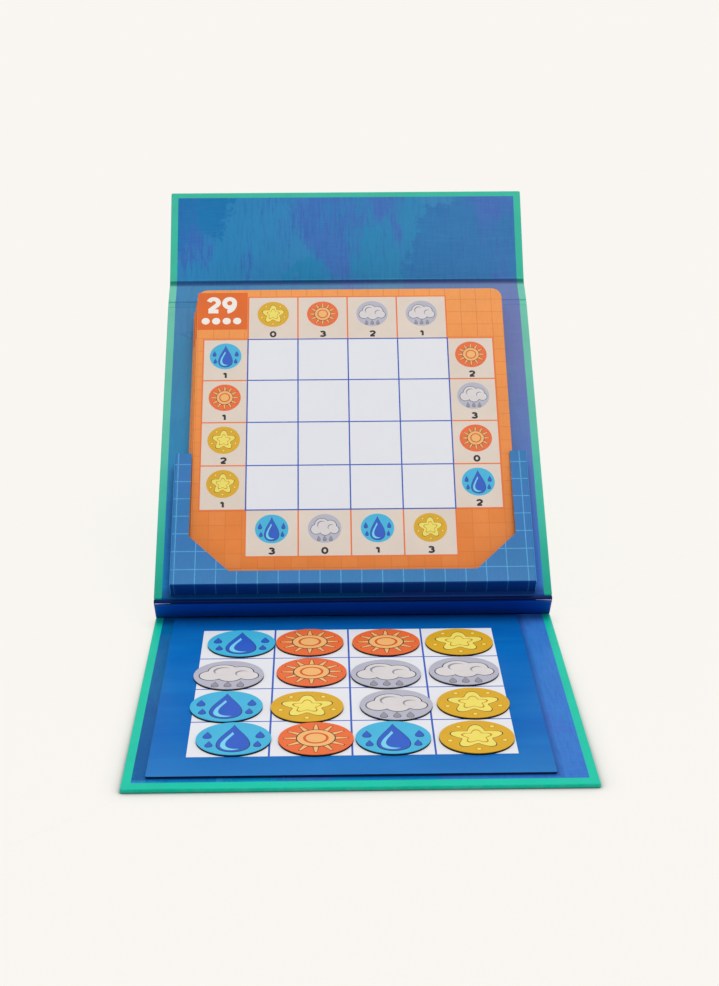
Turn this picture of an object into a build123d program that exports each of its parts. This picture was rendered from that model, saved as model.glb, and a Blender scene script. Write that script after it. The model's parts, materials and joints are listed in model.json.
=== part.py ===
# Magnetic sudoku game: a book-like folding case of wrapped boards, a steel game board with
# sixteen magnetic pieces on the front cover, and a folded pocket of puzzle cards on the back cover.
# Millimetres, +Z up. The origin is the centre of the front cover's underside, which lies on the
# table. X runs along the creases, and the front cover's free edge points to -Y.
# Every panel is drawn in its own plane: local Y runs along the panel, away from its crease, and
# local Z points to the lined inner side.
from build123d import *
from math import cos, radians, sin
import os

# Round pieces: flexible magnet with a printed face
piece_diameter = 29.6
magnet_thickness = 0.7
face_thickness = 0.3
face_edge = 0.08

# Each row of the field from the rear: piece name, then how far it lies off its cell's centre
piece_rows = [
    [("blue_piece_1", 1.5, -0.9), ("orange_piece_1", -0.8, -0.4),
     ("orange_piece_2", 0.4, -1.2), ("yellow_piece_1", 0.2, -1.7)],
    [("grey_piece_1", -2.6, -3.3), ("orange_piece_3", 0.1, -1.1),
     ("grey_piece_2", -0.8, -3.6), ("grey_piece_3", 0.1, -1.5)],
    [("blue_piece_2", -2.2, -2.8), ("yellow_piece_2", -1.6, -4.0),
     ("grey_piece_4", 2.4, -3.1), ("yellow_piece_3", 1.6, -2.1)],
    [("blue_piece_3", 2.0, -1.2), ("orange_piece_4", 2.0, -2.0),
     ("blue_piece_4", 0.1, -1.8), ("yellow_piece_4", 0.6, -2.2)],
]

# Game board: trimmed steel sheet under a printed card face, with a field of four by four cells
cells_per_side = 4
cell_room = 2.65  # how much wider a cell is than the piece laid on it
field_side_margin = 13.35
field_rear_margin = 14.8
field_front_margin = 15.8
field_x = -2.7
board_face_x = -3.3
board_face_thickness = 0.6
board_face_corner = 0.8
steel_thickness = 0.5
steel_inset = 0.6
cell_size = piece_diameter + cell_room
field_size = cells_per_side * cell_size
board_face_width = field_size + 2 * field_side_margin
board_face_height = field_size + field_rear_margin + field_front_margin

# Case, made to fit round the game board: lengths along the panels, between creases
board_side_gap = 12.15
board_front_gap = 8.2
board_rear_gap = 4.4
case_width = board_face_width + 2 * board_side_gap
front_cover_length = board_face_height + board_front_gap + board_rear_gap
back_cover_length = front_cover_length
front_spine_span = 14.4  # crease to crease, sets the depth of the closed case
flap_wrap_room = 2.2  # lets the top spine and flap close round the front cover
top_spine_span = front_spine_span + flap_wrap_room
flap_length = 49.8
board_thickness = 1.5
paper = 0.15  # outer wrap and lining
crease_reach = 1.5  # from a crease to the board edges beside it
crease_depth = 0.6  # from the inner surface down to the crease line
case_corner = 0.8

# Green turn-in that stays in view round the lining
side_border = 3.5
cover_edge_border = 5.9
flap_edge_border = 2.8

# How the open case stands, as angles of each panel above the table
front_spine_angle = 130.0
back_cover_angle = 37.0
top_spine_angle = 24.5
flap_angle = 53.8

# Folded paper joint in each crease
joint_radius = 1.2
joint_paper = 0.3
joint_end_inset = 0.3
joint_lap_clearance = 8.0  # degrees left open before the neighbouring board

# Card pocket: a folded tray glued to the back cover, with a window in its front
pocket_side_gap = 7.4
pocket_width = case_width - 2 * pocket_side_gap
pocket_depth = 8.0
pocket_wall = 0.5
pocket_bottom = 2.2  # above the back cover's lower edge
pocket_height = 72.9
pocket_fold_radius = 0.7
window_side = 7.9  # width of the ear beside the window
window_half_width = pocket_width / 2 - window_side
window_sill = 7.3  # height of the strip below the window
window_corner_width = 18.5
window_corner_height = 19.0
flange_width = 5.0
flange_thickness = 0.4
flange_taper = 4.0

# Puzzle cards, cut to stand in the pocket and to end below the top crease
card_side_room = 6.9  # on each side, between a card and the pocket's side
card_top_gap = 7.1
card_width = pocket_width - 2 * pocket_wall - 2 * card_side_room
card_height = back_cover_length - card_top_gap
card_thickness = 0.38
card_corner = 5.0
card_gap = 0.05
card_floor_gap = 0.3
stack_back_gap = 0.6
stack_count = 4
stack_shift = -1.4
second_card_lean = 2.4
front_card_lean = 3.0
front_card_raise = 4.3
front_card_shift = 0.9

# Magnets let into the closing flap
flap_magnet_diameter = 10.0
flap_magnet_fit = 0.1
flap_magnet_side = 35.0  # from the flap's side to a magnet's centre
flap_magnet_spacing = case_width - 2 * flap_magnet_side
flap_magnet_edge = 14.0

# Values that follow from the sizes above
case_thickness = board_thickness + 2 * paper
outer_side = case_thickness - crease_depth  # from the outer surface up to the crease line


def along(angle):
    return Vector(0, cos(radians(angle)), sin(radians(angle)))


def inward(angle):
    return Vector(0, -sin(radians(angle)), cos(radians(angle)))


front_crease = Vector(0, front_cover_length / 2 + crease_reach, outer_side)
lower_crease = front_crease + along(front_spine_angle) * front_spine_span
back_span = back_cover_length + 2 * crease_reach
upper_crease = lower_crease + along(back_cover_angle) * back_span
flap_crease = upper_crease + along(top_spine_angle) * top_spine_span

os.makedirs("parts", exist_ok=True)


def save(piece, name):
    """Label a finished piece and write it as one STEP file."""
    piece.part.label = name
    export_step(piece.part, f"parts/{name}.step")


def panel_plane(crease, angle, height):
    """Plane of a panel at a height above its crease line, counted towards the lined side."""
    return Plane(origin=crease + inward(angle) * height, x_dir=(1, 0, 0), z_dir=inward(angle))


def panel_outline(width, start, end, free_end=None, corner=case_corner):
    """Rectangle from start to end along the panel, with round corners at its free end."""
    with Locations((0, (start + end) / 2)):
        outline = Rectangle(width, end - start)
    corners = outline.vertices().sort_by(Axis.Y)
    if free_end == "start":
        fillet(corners[:2], radius=corner)
    if free_end == "end":
        fillet(corners[2:], radius=corner)


def panel_pieces(name, crease, angle, start, end, side, free_end=None, edge=0.0):
    """Board, wrap and lining of one panel. side and edge are the turn-in borders left in view."""
    cut_start = start + (paper if free_end == "start" else 0)
    cut_end = end - (paper if free_end == "end" else 0)
    lining_start = start + (edge if free_end == "start" else 0)
    lining_end = end - (edge if free_end == "end" else 0)
    outer = panel_plane(crease, angle, -outer_side)
    board_floor = panel_plane(crease, angle, -outer_side + paper)
    board_top = panel_plane(crease, angle, -outer_side + paper + board_thickness)
    board_width = case_width - 2 * paper
    board_corner = case_corner - paper

    with BuildPart() as board:
        with BuildSketch(board_floor):
            panel_outline(board_width, cut_start, cut_end, free_end, board_corner)
        extrude(amount=board_thickness)

    with BuildPart() as wrap:
        with BuildSketch(outer):
            panel_outline(case_width, start, end, free_end)
        extrude(amount=case_thickness)
        with BuildSketch(board_floor):
            panel_outline(board_width, cut_start, cut_end, free_end, board_corner)
        extrude(amount=board_thickness, mode=Mode.SUBTRACT)
        with BuildSketch(board_top):
            panel_outline(case_width - 2 * side, lining_start, lining_end)
        extrude(amount=paper, mode=Mode.SUBTRACT)

    with BuildPart() as lining:
        with BuildSketch(board_top):
            panel_outline(case_width - 2 * side, lining_start, lining_end)
        extrude(amount=paper)

    save(wrap, f"{name}_wrap")
    save(lining, f"{name}_lining")
    return board


def crease_joint(name, crease, child_angle, sweep):
    """Wrap and lining glued together, bent round the crease line from the child panel's edge."""
    section = Plane(
        origin=crease - Vector(case_width / 2 - joint_end_inset, 0, 0),
        x_dir=(0, 1, 0),
        z_dir=(1, 0, 0),
    )
    inner_radius = joint_radius - joint_paper
    tab_start = joint_radius - joint_paper / 2
    with BuildPart() as joint:
        with BuildSketch(section):
            with BuildLine():
                outer_arc = CenterArc((0, 0), joint_radius, child_angle, sweep)
                inner_arc = CenterArc((0, 0), inner_radius, child_angle, sweep)
                Line(outer_arc @ 0, inner_arc @ 0)
                Line(outer_arc @ 1, inner_arc @ 1)
            make_face()
            tab_middle = (tab_start + crease_reach) / 2
            turn = radians(child_angle)
            with Locations(Location((tab_middle * cos(turn), tab_middle * sin(turn), 0), child_angle)):
                Rectangle(crease_reach - tab_start, joint_paper)
        extrude(amount=case_width - 2 * joint_end_inset)
    save(joint, name)


# Front cover, flat on the table, with its free edge towards the player
front_board = panel_pieces(
    "front_cover",
    front_crease,
    0,
    -crease_reach - front_cover_length,
    -crease_reach,
    side_border,
    "start",
    cover_edge_border,
)
save(front_board, "front_cover_board")

# Front spine: a narrow strip whose lining runs out to both ends
front_spine_board = panel_pieces(
    "front_spine",
    front_crease,
    front_spine_angle,
    crease_reach,
    front_spine_span - crease_reach,
    0,
)
save(front_spine_board, "front_spine_board")

# Back cover, leaning back
back_board = panel_pieces(
    "back_cover",
    lower_crease,
    back_cover_angle,
    crease_reach,
    crease_reach + back_cover_length,
    side_border,
)
save(back_board, "back_cover_board")

# Top spine, between the back cover and the closing flap
top_spine_board = panel_pieces(
    "top_spine",
    upper_crease,
    top_spine_angle,
    crease_reach,
    top_spine_span - crease_reach,
    side_border,
)
save(top_spine_board, "top_spine_board")

# Closing flap, with two round magnets let into its board
flap_board = panel_pieces(
    "closing_flap",
    flap_crease,
    flap_angle,
    crease_reach,
    crease_reach + flap_length,
    side_border,
    "end",
    flap_edge_border,
)
magnet_place = crease_reach + flap_length - flap_magnet_edge
magnet_plane = panel_plane(flap_crease, flap_angle, -outer_side + paper)
with BuildPart() as closing_flap_board:
    add(flap_board.part)
    with BuildSketch(magnet_plane):
        with Locations((0, magnet_place)):
            with GridLocations(flap_magnet_spacing, 0, 2, 1):
                Circle(flap_magnet_diameter / 2 + flap_magnet_fit)
    extrude(amount=board_thickness, mode=Mode.SUBTRACT)
save(closing_flap_board, "closing_flap_board")

with BuildPart() as closing_flap_magnets:
    with BuildSketch(magnet_plane):
        with Locations((0, magnet_place)):
            with GridLocations(flap_magnet_spacing, 0, 2, 1):
                Circle(flap_magnet_diameter / 2)
    extrude(amount=board_thickness)
save(closing_flap_magnets, "closing_flap_magnets")

# Paper joints, each bent round the side that the fold leaves free. Three bend round the outer
# side of the case, and the one at the foot of the back cover, which is folded outwards, round
# the inner side.
front_joint_sweep = front_spine_angle + 180 - joint_lap_clearance
crease_joint("front_crease_joint", front_crease, front_spine_angle, -front_joint_sweep)
lower_joint_sweep = front_spine_angle + 180 - back_cover_angle - joint_lap_clearance
crease_joint("lower_crease_joint", lower_crease, back_cover_angle, lower_joint_sweep)
upper_joint_sweep = top_spine_angle + 180 - back_cover_angle - joint_lap_clearance
crease_joint("upper_crease_joint", upper_crease, top_spine_angle, -upper_joint_sweep)
flap_joint_sweep = flap_angle + 180 - top_spine_angle - joint_lap_clearance
crease_joint("flap_crease_joint", flap_crease, flap_angle, -flap_joint_sweep)

# Game board, glued to the front cover's lining
board_face_y = front_cover_length / 2 - board_rear_gap - board_face_height / 2
steel_bottom = case_thickness
face_bottom = steel_bottom + steel_thickness
with BuildPart() as game_board_steel:
    with BuildSketch(Plane.XY.offset(steel_bottom)):
        with Locations((board_face_x, board_face_y)):
            steel_width = board_face_width - 2 * steel_inset
            steel_height = board_face_height - 2 * steel_inset
            RectangleRounded(steel_width, steel_height, board_face_corner)
    extrude(amount=steel_thickness)
save(game_board_steel, "game_board_steel")

with BuildPart() as game_board_face:
    with BuildSketch(Plane.XY.offset(face_bottom)):
        with Locations((board_face_x, board_face_y)):
            RectangleRounded(board_face_width, board_face_height, board_face_corner)
    extrude(amount=board_face_thickness)
save(game_board_face, "game_board_face")

# Magnetic pieces, laid by hand on the field's cells
field_top = face_bottom + board_face_thickness
field_rear = front_cover_length / 2 - board_rear_gap - field_rear_margin
for row, pieces in enumerate(piece_rows):
    for column, (name, aside, back) in enumerate(pieces):
        piece_x = field_x - field_size / 2 + (column + 0.5) * cell_size + aside
        piece_y = field_rear - (row + 0.5) * cell_size + back
        with BuildPart() as magnet:
            with BuildSketch(Plane.XY.offset(field_top)):
                with Locations((piece_x, piece_y)):
                    Circle(piece_diameter / 2)
            extrude(amount=magnet_thickness)
        save(magnet, f"{name}_magnet")
        with BuildPart() as face:
            with BuildSketch(Plane.XY.offset(field_top + magnet_thickness)):
                with Locations((piece_x, piece_y)):
                    Circle(piece_diameter / 2)
            extrude(amount=face_thickness)
            chamfer(face.faces().sort_by(Axis.Z)[-1].edges(), length=face_edge)
        save(face, f"{name}_face")

# Card pocket: front with a window between two ears, folded sides and bottom, and glue flanges
pocket_start = crease_reach + pocket_bottom
pocket_end = pocket_start + pocket_height
lining_plane = panel_plane(lower_crease, back_cover_angle, crease_depth)
front_inside = panel_plane(lower_crease, back_cover_angle, crease_depth + pocket_depth - pocket_wall)
along_panel = Axis((0, 0, 0), along(back_cover_angle))
with BuildPart() as card_pocket:
    with BuildSketch(lining_plane):
        panel_outline(pocket_width, pocket_start, pocket_end)
    extrude(amount=pocket_depth)
    front_face = card_pocket.faces().sort_by(Axis((0, 0, 0), inward(back_cover_angle)))[-1]
    folds = front_face.edges().sort_by(along_panel)[:-1]
    fillet(folds, radius=pocket_fold_radius)
    with BuildSketch(lining_plane):
        inside_width = pocket_width - 2 * pocket_wall
        panel_outline(inside_width, pocket_start + pocket_wall, pocket_end)
    extrude(amount=pocket_depth - pocket_wall, mode=Mode.SUBTRACT)
    with BuildSketch(front_inside):
        sill = pocket_start + window_sill
        shoulder = sill + window_corner_height
        foot = window_half_width - window_corner_width
        with BuildLine():
            Polyline(
                (-window_half_width, pocket_end),
                (-window_half_width, shoulder),
                (-foot, sill),
                (foot, sill),
                (window_half_width, shoulder),
                (window_half_width, pocket_end),
                close=True,
            )
        make_face()
    extrude(amount=pocket_wall, mode=Mode.SUBTRACT)
    with BuildSketch(lining_plane):
        flange_foot = pocket_start + pocket_wall
        side_foot = flange_foot + flange_width
        wall_x = inside_width / 2
        with BuildLine():
            Polyline(
                (wall_x, side_foot),
                (wall_x, pocket_end),
                (wall_x - flange_width, pocket_end - flange_taper),
                (wall_x - flange_width, side_foot + flange_taper),
                close=True,
            )
        make_face()
        mirror(about=Plane.YZ)
        with BuildLine():
            Polyline(
                (-wall_x + flange_width, flange_foot),
                (wall_x - flange_width, flange_foot),
                (wall_x - flange_width - flange_taper, side_foot),
                (-wall_x + flange_width + flange_taper, side_foot),
                close=True,
            )
        make_face()
    extrude(amount=flange_thickness)
save(card_pocket, "card_pocket")

# Puzzle cards: some lie flat against the lining, two lean forward in front of them
card_foot = pocket_start + pocket_wall + card_floor_gap
card_pitch = card_thickness + card_gap
second_card_back = stack_back_gap + stack_count * card_pitch
front_card_back = second_card_back + card_pitch


def card_plane(distance, lean):
    """Plane of a card's back: its foot stands on the pocket's floor, off the lining."""
    foot = lower_crease + along(back_cover_angle) * card_foot
    foot = foot + inward(back_cover_angle) * (crease_depth + distance)
    return Plane(origin=foot, x_dir=(1, 0, 0), z_dir=inward(back_cover_angle + lean))


def card_outline(shift, lift=0.0):
    with Locations((shift, card_height / 2 + lift)):
        RectangleRounded(card_width, card_height, card_corner)


with BuildPart() as puzzle_card_stack:
    for number in range(stack_count):
        with BuildSketch(card_plane(stack_back_gap + number * card_pitch, 0)):
            card_outline(stack_shift)
        extrude(amount=card_thickness)
save(puzzle_card_stack, "puzzle_card_stack")

with BuildPart() as puzzle_card_second:
    with BuildSketch(card_plane(second_card_back, second_card_lean)):
        card_outline(0)
    extrude(amount=card_thickness)
save(puzzle_card_second, "puzzle_card_second")

with BuildPart() as puzzle_card_front:
    with BuildSketch(card_plane(front_card_back, front_card_lean)):
        card_outline(front_card_shift, front_card_raise)
    extrude(amount=card_thickness)
save(puzzle_card_front, "puzzle_card_front")
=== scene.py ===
import json
from math import cos, hypot, pi, radians, sin

import bmesh
import bpy
from mathutils import Matrix, Vector
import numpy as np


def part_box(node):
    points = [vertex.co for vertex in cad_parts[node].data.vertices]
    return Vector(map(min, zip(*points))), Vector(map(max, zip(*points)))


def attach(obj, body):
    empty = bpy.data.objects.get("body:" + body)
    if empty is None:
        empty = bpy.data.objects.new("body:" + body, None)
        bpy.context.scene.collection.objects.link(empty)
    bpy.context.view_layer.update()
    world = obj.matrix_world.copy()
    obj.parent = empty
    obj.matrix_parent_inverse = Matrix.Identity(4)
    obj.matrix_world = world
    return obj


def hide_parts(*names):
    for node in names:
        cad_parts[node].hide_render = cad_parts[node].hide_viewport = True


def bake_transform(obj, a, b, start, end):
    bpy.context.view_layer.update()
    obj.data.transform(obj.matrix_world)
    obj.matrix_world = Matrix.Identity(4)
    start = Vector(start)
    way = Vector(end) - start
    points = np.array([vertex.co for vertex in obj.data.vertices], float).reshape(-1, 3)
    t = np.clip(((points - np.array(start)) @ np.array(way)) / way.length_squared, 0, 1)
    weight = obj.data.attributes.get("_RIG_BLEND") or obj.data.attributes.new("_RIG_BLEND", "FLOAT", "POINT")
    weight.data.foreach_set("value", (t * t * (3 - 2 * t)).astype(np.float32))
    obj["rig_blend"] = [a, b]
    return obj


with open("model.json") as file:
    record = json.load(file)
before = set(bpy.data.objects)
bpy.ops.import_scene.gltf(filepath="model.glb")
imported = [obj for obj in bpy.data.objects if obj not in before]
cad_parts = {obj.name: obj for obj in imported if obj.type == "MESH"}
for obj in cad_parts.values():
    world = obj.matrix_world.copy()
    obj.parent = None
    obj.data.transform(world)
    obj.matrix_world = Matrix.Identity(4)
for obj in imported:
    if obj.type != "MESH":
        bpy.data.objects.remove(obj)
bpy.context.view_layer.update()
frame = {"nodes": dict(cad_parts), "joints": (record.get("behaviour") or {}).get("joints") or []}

# The five wrapped boards of the case: greyboard 1.5 mm thick, covered outside with green printed
# paper that is turned in over the edges and glued down. They are drawn flat in millimetres, x along
# the creases, y up the board from its hinge line and z towards the lined side, and then placed.
CASE_WIDTH = 180.0
OUTSIDE, INSIDE = -1.2, 0.6  # the board's two surfaces, counted from the hinge line
BOARD_EDGE, CASE_CORNER = 0.45, 0.8
CREASE_LIP = 0.9  # the end of each board that the crease strips wrap
TURNED_END = 0.12  # the navy strip is turned down over the ends of the front spine
HINGE = {joint["name"]: joint["pos_m"] for joint in frame["joints"] if "pos_m" in joint}
# Each board: its hinge, its angle, where it starts and ends, which end is free, and how far up the
# whole unfolded sheet its hinge line lies.
PANELS = {
    "front_cover": ("front_spine_fold", 0.0, -173.7, -1.5, "start", 0.0),
    "front_spine": ("front_spine_fold", 130.0, 1.5, 12.9, None, 0.0),
    "back_cover": ("back_cover_fold", 37.0, 1.5, 173.7, None, 14.4),
    "top_spine": ("top_spine_fold", 24.5, 1.5, 15.1, None, 189.6),
    "closing_flap": ("closing_flap_fold", 53.8, 1.5, 51.3, "end", 206.2),
}
FLAP_CREASE = PANELS["closing_flap"][5]  # the fold that is used most; a band of painted shade lies along it
LEAST_RADIUS = 0.05  # what a round corner keeps, however far the outline is inset


def srgb(red, green, blue):
    """A colour of 0 to 255 as Blender's linear colour."""
    channels = []
    for value in (red / 255, green / 255, blue / 255):
        channels.append(value / 12.92 if value <= 0.04045 else ((value + 0.055) / 1.055) ** 2.4)
    return (*channels, 1.0)


def stand_at(hinge, angle):
    """Puts a shape drawn flat in millimetres at a hinge line, turned up by the angle."""
    turned = Matrix.Rotation(radians(angle), 4, "X")
    return Matrix.Translation(Vector(hinge)) @ turned @ Matrix.Scale(0.001, 4)


def start_mesh():
    """An empty mesh whose points remember their flat place and how near an edge they lie."""
    mesh = bmesh.new()
    mesh.verts.layers.float_vector.new("sheet")
    mesh.verts.layers.float.new("rim")
    return mesh


def add_ring(mesh, points, height, rim=0.0, along=0.0):
    sheet = mesh.verts.layers.float_vector["sheet"]
    edge = mesh.verts.layers.float["rim"]
    ring = []
    for x, y in points:
        vertex = mesh.verts.new((x, y, height))
        vertex[sheet] = (x, y + along, height)
        vertex[edge] = rim
        ring.append(vertex)
    return ring


def bridge(mesh, lower, upper, slot=0):
    for this in range(len(lower)):
        that = (this + 1) % len(lower)
        face = mesh.faces.new((lower[this], lower[that], upper[that], upper[this]))
        face.material_index = slot


def put_in_scene(name, data):
    piece = bpy.data.objects.new(name, data)
    bpy.context.scene.collection.objects.link(piece)
    return piece


def finish_mesh(mesh, name, where, materials):
    """Places a drawn mesh and makes it an object that sits at the origin."""
    mesh.transform(where)
    bmesh.ops.recalc_face_normals(mesh, faces=mesh.faces)
    data = bpy.data.meshes.new(name)
    mesh.to_mesh(data)
    mesh.free()
    for material in materials:
        data.materials.append(material)
    return put_in_scene(name, data)


def add_skin(mesh, loops, slot=0):
    """Joins loops of points one after another and closes both ends."""
    for this, that in zip(loops, loops[1:]):
        bridge(mesh, this, that, slot)
    mesh.faces.new(loops[0][::-1]).material_index = slot
    mesh.faces.new(loops[-1]).material_index = slot


def make_slab(name, outline, low, high, edge, where, materials, steps=3, along=0.0):
    """A flat plate with rounded edges. outline(inset) gives the same number of points each time.
    The first material is for the top, and the last for all the rest."""
    mesh, rest = start_mesh(), len(materials) - 1
    drop = min(edge, (high - low) * 0.4)
    levels = []
    for step in range(steps, -1, -1):
        turn = pi / 2 * step / steps
        levels.append((low + drop * (1 - sin(turn)), edge * (1 - cos(turn))))
    levels += [(low + high - z, inset) for z, inset in reversed(levels)]
    rings = [add_ring(mesh, outline(inset), z, 1 - inset / edge, along) for z, inset in levels]
    for number, (ring_below, ring_above) in enumerate(zip(rings, rings[1:])):
        bridge(mesh, ring_below, ring_above, 0 if number > steps else rest)
    mesh.faces.new(rings[0][::-1]).material_index = rest
    mesh.faces.new(rings[-1])
    return finish_mesh(mesh, name, where, materials)


def arc(x, y, across, upward, first, last, count=14):
    """Points along a round or oval bend, from one angle to another in degrees."""
    turns = [radians(first + (last - first) * step / count) for step in range(count + 1)]
    return [(x + across * cos(turn), y + upward * sin(turn)) for turn in turns]


def rectangle(sides, ends, radii):
    """An outline round from the near left corner. Each corner's radius rounds it, or 0 leaves it
    square."""
    (left, right), (near, far) = sides, ends
    corners = ((left, near, 1, 1), (right, near, -1, 1), (right, far, -1, -1), (left, far, 1, -1))
    points = []
    for radius, first, (x, y, to_x, to_y) in zip(radii, (180, 270, 0, 90), corners):
        bend = arc(x + to_x * radius, y + to_y * radius, radius, radius, first, first + 90, 5)
        points += bend if radius else [(x, y)]
    return points


def lay_on_panel(name, panel, width, low, high, edge, material, border=0.0, corner=0.1, steps=3):
    """A plate on one panel: square at its creases, with round corners at its free end, where it
    stands back by the border."""
    hinge, angle, start, end, free_end, along = PANELS[panel]
    start += border if free_end == "start" else CREASE_LIP
    end -= border if free_end == "end" else CREASE_LIP

    def outline(inset):
        side, radius = width / 2 - inset, max(corner - inset, LEAST_RADIUS)
        near = (inset, radius) if free_end == "start" else (0, 0)
        far = (inset, radius) if free_end == "end" else (0, 0)
        ends = (start + near[0], end - far[0])
        return rectangle((-side, side), ends, (near[1], near[1], far[1], far[1]))

    where = stand_at(HINGE[hinge], angle)
    return make_slab(name, outline, low, high, edge, where, [material], steps, along)


def sign(operation, swapped=False):
    """A sign that adds a math node to the tree of the value it stands by."""

    def reckon(self, *others):
        values = (*others, self) if swapped else (self, *others)
        return add_node(self.tree, "Math", dict(enumerate(values)), operation=operation)

    return reckon


class Output:
    """What comes out of a node, to reckon with or to lead into other nodes."""

    __add__, __sub__, __rsub__ = sign("ADD"), sign("SUBTRACT"), sign("SUBTRACT", True)
    __mul__, __truediv__, __rtruediv__ = sign("MULTIPLY"), sign("DIVIDE"), sign("DIVIDE", True)
    __gt__, __lt__, __abs__ = sign("GREATER_THAN"), sign("LESS_THAN"), sign("ABSOLUTE")
    larger, smaller, power = sign("MAXIMUM"), sign("MINIMUM"), sign("POWER")
    floor, rounded = sign("FLOOR"), sign("ROUND")

    def __init__(self, tree, socket):
        self.tree, self.socket = tree, socket

    def spread(self, low, high, to_low=0.0, to_high=1.0):
        """Spreads the values between low and high over a new range and cuts off the rest."""
        inputs = {"Value": self, "From Min": low, "From Max": high, "To Min": to_low, "To Max": to_high}
        return add_node(self.tree, "MapRange", inputs)

    def split(self):
        """The three parts of a place: across, up and level."""
        return add_node(self.tree, "SeparateXYZ", {0: self}, ("X", "Y", "Z"))


def set_inputs(node, inputs):
    """Fills a node's inputs with values, or links them to what comes out of other nodes."""
    for name, value in inputs.items():
        if isinstance(value, Output):
            value.tree.links.new(value.socket, node.inputs[name])
        else:
            node.inputs[name].default_value = value


def add_node(tree, kind, inputs=None, take=0, **settings):
    """Adds a node to a tree, sets its properties and inputs, and hands over one of its outputs, or
    several where take lists their names."""
    made = tree.nodes.new(kind if kind.startswith("Geometry") else f"ShaderNode{kind}")
    for name, value in settings.items():
        setattr(made, name, value)
    set_inputs(made, inputs or {})
    if isinstance(take, tuple):
        return [Output(tree, made.outputs[name]) for name in take]
    return Output(tree, made.outputs[take])


def noise(place, scale, detail=2.0, roughness=0.5, distortion=0.0, take=0):
    inputs = {"Vector": place, "Scale": scale, "Detail": detail}
    inputs |= {"Roughness": roughness, "Distortion": distortion}
    return add_node(place.tree, "TexNoise", inputs, take)


def stretched(place, **inputs):
    return add_node(place.tree, "Mapping", {"Vector": place, **inputs})


def mix(share, under, over, blend="MIX"):
    """Lays a share of one colour over another."""
    colours = {0: share, 6: under, 7: over}
    return add_node(share.tree, "Mix", colours, 2, data_type="RGBA", blend_type=blend)


def make_group(name, inputs, outputs):
    """A shader node group with named sockets: floats, or a vector called Place."""
    group = bpy.data.node_groups.new(name, "ShaderNodeTree")
    for socket, value in inputs.items():
        kind = "NodeSocketVector" if value is None else "NodeSocketFloat"
        made = group.interface.new_socket(socket, in_out="INPUT", socket_type=kind)
        if value is not None:
            made.default_value = value
    for socket in outputs:
        group.interface.new_socket(socket, in_out="OUTPUT", socket_type="NodeSocketFloat")
    entry = group.nodes.new("NodeGroupInput").outputs
    entry = {socket: Output(group, entry[socket]) for socket in inputs}
    return group, entry, group.nodes.new("NodeGroupOutput")


def placed_group(group, take, **inputs):
    """Puts a shared effect in a material with its own values."""
    named = {name.replace("_", " ").capitalize(): value for name, value in inputs.items()}
    return add_node(inputs["place"].tree, "Group", named, take, node_tree=group)


# Fine fibres and cloudy tone that every coated paper and card of the game shows.
paper_grain, entry, leave = make_group("paper_grain", {"Place": None, "Size": 1.0}, ("Fibre", "Cloud"))
fibre = noise(entry["Place"], 3.2 / entry["Size"], 4.0, 0.65)
cloud = noise(entry["Place"], 0.045 / entry["Size"], 3.0, 0.6)
set_inputs(leave, {"Fibre": fibre, "Cloud": cloud})

# Rubbed ink along the edges, where fingers and the table wear the paper.
edge_rub, entry, leave = make_group("edge_rub", {"Place": None, "Rim": 0.0, "Amount": 0.5}, ("Rub",))
patches = noise(entry["Place"], 0.22, 6.0, 0.7)
broken = ((patches - 0.42) * 4.0).larger(0.0)
set_inputs(leave, {"Rub": (entry["Rim"] * broken * entry["Amount"]).smaller(1.0)})

# Painted sheen: the paper is drawn lighter where the overhead light shines on it, most on the upper half of
# the back cover and the narrow strip above it, less on the flap. Places are counted up the whole unfolded
# sheet from the front spine's hinge line.
painted_sheen, entry, leave = make_group("painted_sheen", {"Place": None}, ("Pale",))
_, up_the_sheet, _ = entry["Place"].split()
on_flap = up_the_sheet > FLAP_CREASE - 0.2
set_inputs(leave, {"Pale": up_the_sheet.spread(20.0, 150.0) * (1.0 - on_flap * 0.65)})


def new_material(name):
    """A new material with its node tree and its surface."""
    material = bpy.data.materials.new(name)
    material.use_nodes = True
    return material, material.node_tree, material.node_tree.nodes["Principled BSDF"]


def drawn_place(tree):
    """The place on the flat sheet that a drawn mesh remembers."""
    return add_node(tree, "Attribute", None, "Vector", attribute_name="sheet")


def object_place(tree):
    return add_node(tree, "TexCoord", None, "Object")


def paper_material(
    name, paint, roughness, gloss=0.15, rub=0.0, bump=0.04, size=1.0, mottle=0.07, laid=drawn_place
):
    """Printed coated paper. paint is one colour, or paint(place) gives it from the flat sheet's
    place, which laid(tree) finds."""
    material, tree, surface = new_material(name)
    place = laid(tree)
    rim = add_node(tree, "Attribute", None, "Fac", attribute_name="rim")
    fibre, cloud = placed_group(paper_grain, ("Fibre", "Cloud"), place=place, size=size)
    pale_edge = placed_group(edge_rub, "Rub", place=place, rim=rim, amount=rub)
    colour = paint(place) if callable(paint) else paint
    toned = mix(cloud.spread(0.3, 0.7, 0.0, mottle), colour, srgb(0, 0, 0), "MULTIPLY")
    toned = mix(fibre * 0.1, toned, srgb(255, 255, 255), "SOFT_LIGHT")
    relief = {"Height": fibre, "Strength": 0.25, "Distance": bump * 0.001}
    finish = {
        "Base Color": mix(pale_edge, toned, srgb(226, 222, 212)),
        "Roughness": fibre.spread(0.0, 1.0, roughness - 0.06, roughness + 0.06),
        "Normal": add_node(tree, "Bump", relief),
        "Specular IOR Level": gloss,
    }
    set_inputs(surface, finish)
    return material


def near_crease(up_the_sheet, crease, share):
    """A narrow band of painted shade along a crease, where the fold lies in shade."""
    return abs(up_the_sheet - crease).spread(1.9, 1.1, 0.0, share)


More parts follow.
